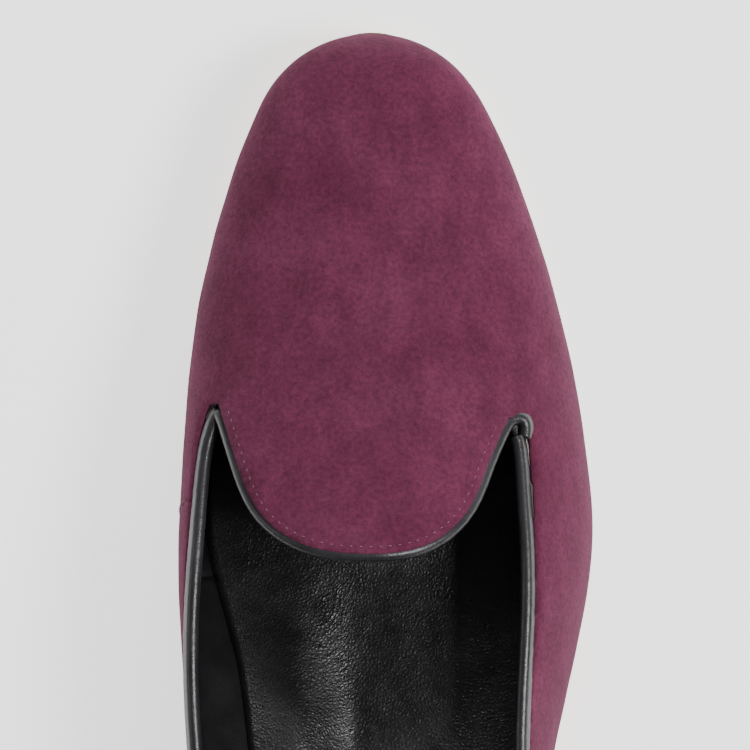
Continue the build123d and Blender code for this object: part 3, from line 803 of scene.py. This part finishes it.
def facing(line):
    """Sideways direction for the bead's section: level, across its run."""

    def outward(i):
        before, after = line[max(i - 2, 0)], line[min(i + 2, len(line) - 1)]
        along = Vector(after) - Vector(before)
        return Vector((along.y, -along.x, 0.0))

    return outward


def bead_section(radius, count=28, ridge_height=0.62, ridge_angle=0.35, ridge_spread=0.33):
    """A round bead with a low stitched ridge along its inner foot."""
    points = []
    for k in range(count):
        angle = 2 * math.pi * k / count
        turned = math.atan2(math.sin(angle + ridge_angle), math.cos(angle + ridge_angle))
        reach = radius + ridge_height * math.exp(-((turned / ridge_spread) ** 2))
        points.append((reach * math.cos(angle), reach * math.sin(angle)))
    return points


def make_piping():
    tongue_line, rim = piping_lines()
    runs = (("tongue_piping", tongue_line), ("top_line_piping", rim))
    for node, line in runs:
        bead = sweep(node + "_bead", line, bead_section(PIPING), PIPING_LOOK, facing(line), swell=puckered)
        finish_piece(bead, "piping", node)
    strand_section = round_profile(CORD, 12)
    for node, line in runs:
        strand = sweep(node + "_cord_strand", line[2:-2], strand_section, LOOKS["cord"], facing(line))
        finish_piece(strand, "cord", node + "_cord")


make_piping()


# ---------------------------------------------------------------- back strip and stitching


def back_y(x, z, inset):
    """Y of the upper's surface behind the heel, at an x and a height."""
    inner, outer = -110.0, HEEL_BACK + inset
    for _ in range(40):
        y = (inner + outer) / 2
        top = section(side_of(x), y, inset)[-1]
        reach = abs(wall_x(side_of(x), y, z, inset) - AXIS)
        inside = z < top and abs(x - AXIS) <= reach
        inner, outer = (y, outer) if inside else (inner, y)
    return y


def make_back_strip(narrow=13.0, wide=22.0, rows=60, columns=24):
    """The strip over the back seam, narrow at the sole and wide at the top edge."""
    low = HEEL_HEIGHT + SOLE_THICKNESS + 0.2
    verts = []
    for i in range(rows + 1):
        share = i / rows
        half_strip = (narrow + (wide - narrow) * smooth_step(share * 1.05) * share) / 2
        for k in range(columns + 1):
            x = AXIS - half_strip + 2 * half_strip * k / columns
            top = rim_z(back_y(x, 70.0, -0.5)) - 1.0
            z = low + (top - low) * share
            verts.append((x, back_y(x, z, -0.75), z))
    strip = make_object("suede_back_strip", verts, grid_faces(rows, columns), SUEDE_LOOK)
    thicken(strip, BACK_STRIP)
    finish_piece(strip, "suede", "back_strip")
    return np.array(verts).reshape(rows + 1, columns + 1, 3)


def value_at(mark, spans, rows):
    """The vector that rows hold at a distance along their line."""
    return Vector([float(np.interp(mark, spans, rows[:, k])) for k in range(3)])


def stitch_row(name, line, outward, length, pitch, radius):
    """A row of small thread stitches lying on a line of points."""
    spans = distances(line)
    verts, faces = [], []
    ring, steps = 8, 6
    at = pitch / 2
    while at + length < spans[-1]:
        start = len(verts)
        for s in range(steps + 1):
            share = s / steps
            mark = at + length * share
            here = value_at(mark, spans, line)
            along = (value_at(mark + 0.2, spans, line) - here).normalized()
            out = value_at(mark, spans, outward).normalized()
            across = along.cross(out).normalized()
            thick = radius * (0.35 + 0.65 * math.sin(math.pi * min(max(share, 0.04), 0.96)))
            here = here + out * (0.22 * math.sin(math.pi * share) - 0.05)
            for k in range(ring):
                angle = 2 * math.pi * k / ring
                verts.append(here + across * thick * math.cos(angle) + out * thick * math.sin(angle))
        for s in range(steps):
            for k in range(ring):
                n = (k + 1) % ring
                a = start + s * ring
                faces.append((a + k, a + n, a + ring + n, a + ring + k))
        faces.append(tuple(range(start, start + ring))[::-1])
        faces.append(tuple(range(start + steps * ring, start + (steps + 1) * ring)))
        at += pitch
    finish_piece(make_object(name, verts, faces, THREAD_LOOK), "suede")


def surface_normals(line):
    """Outward direction of the suede at each point of a line on it."""
    normals = []
    for x, y, z in line:
        width, _, _, _, equator, top = section(side_of(x), y)
        over = max(z - equator, 0.0) / max(top - equator, 1.0)
        normals.append(((x - AXIS) / width, 0.0, 0.15 + over))
    return np.array(normals)


def on_suede(x, y):
    z = wall_z(x, y)
    return (x, y, z + wrinkle(x, y, z, SUEDE_WRINKLE) * wrinkle_fade(y, z))


def stitch_tongue(gap=2.05):
    """Stitches beside the tongue's piping."""
    edge = tongue_edge(200)
    line = []
    for i in range(2, len(edge) - 2):
        along = Vector((edge[i + 1][0] - edge[i - 1][0], edge[i + 1][1] - edge[i - 1][1], 0)).normalized()
        line.append(on_suede(edge[i][0] - along.y * gap, edge[i][1] + along.x * gap))
    line = resample(line, 220)
    stitch_row("tongue_stitches", line, surface_normals(line), 0.8, 2.3, 0.1)


def stitch_side_seam(gap=0.9, low=8.0, rise=36.0, count=60):
    """Stitches along the medial seam, ending below the piping."""
    seam = []
    for i in range(count):
        z = low + rise * i / (count - 1)
        y = seam_y(z) + gap
        if z < rim_z(y) - 2.0:
            seam.append((wall_x(MEDIAL, y, z) - 0.05, y, z))
    seam = np.array(seam)
    stitch_row("side_seam_stitches", seam, surface_normals(seam), 1.5, 2.3, 0.16)


def stitch_back_strip(strip):
    """A row of stitches along each edge of the back strip."""
    for name, column in (("left", 1), ("right", -2)):
        line = strip[1:-1, column]
        backwards = np.tile([0.0, -1.0, 0.0], (len(line), 1))
        stitch_row(f"back_strip_stitches_{name}", line, backwards, 1.7, 2.4, 0.17)


back_strip = make_back_strip()
stitch_tongue()
stitch_side_seam()
stitch_back_strip(back_strip)


# ---------------------------------------------------------------- floor, light and camera


def stage_floor():
    bpy.ops.mesh.primitive_plane_add(size=8.0, location=(0, 0, 0))
    floor = bpy.context.object
    floor.name = "floor"
    material, shader = new_material("floor", 0.75, 0.2)
    shader.inputs["Base Color"].default_value = (0.9, 0.9, 0.9, 1)
    shader.inputs["Emission Color"].default_value = (1, 1, 1, 1)
    shader.inputs["Emission Strength"].default_value = 1.5
    floor.data.materials.append(material)


def area_light(name, place, size, power):
    light = bpy.data.lights.new(name, "AREA")
    light.energy = power
    light.size = size
    obj = bpy.data.objects.new(name, light)
    obj.location = place
    obj.rotation_euler = (Vector((0, 0.06, 0)) - Vector(place)).to_track_quat("-Z", "Y").to_euler()
    bpy.context.scene.collection.objects.link(obj)


stage_floor()
area_light("left_softbox", (-1.2, 0.15, 0.7), 0.5, 1.4)
area_light("right_softbox", (0.72, -0.02, 1.1), 0.45, 15)
area_light("toe_softbox", (0.1, 1.2, 0.9), 0.6, 9)

world = bpy.data.worlds.new("world")
bpy.context.scene.world = world
world.use_nodes = True
world.node_tree.nodes["Background"].inputs["Color"].default_value = (1, 1, 1, 1)
world.node_tree.nodes["Background"].inputs["Strength"].default_value = 0.12

CAMERA_DISTANCE = 1.25
VIEW_WIDTH = 0.1816  # of the 750 pixel frame, in the plane of the shoe's widest outline
OUTLINE_HEIGHT = 0.022
camera_data = bpy.data.cameras.new("camera")
camera_data.sensor_width = 36.0
camera_data.lens = 36.0 * (CAMERA_DISTANCE - OUTLINE_HEIGHT) / VIEW_WIDTH
camera = bpy.data.objects.new("camera", camera_data)
camera.location = (-0.0028, 0.0667, CAMERA_DISTANCE)
bpy.context.scene.collection.objects.link(camera)
bpy.context.scene.camera = camera
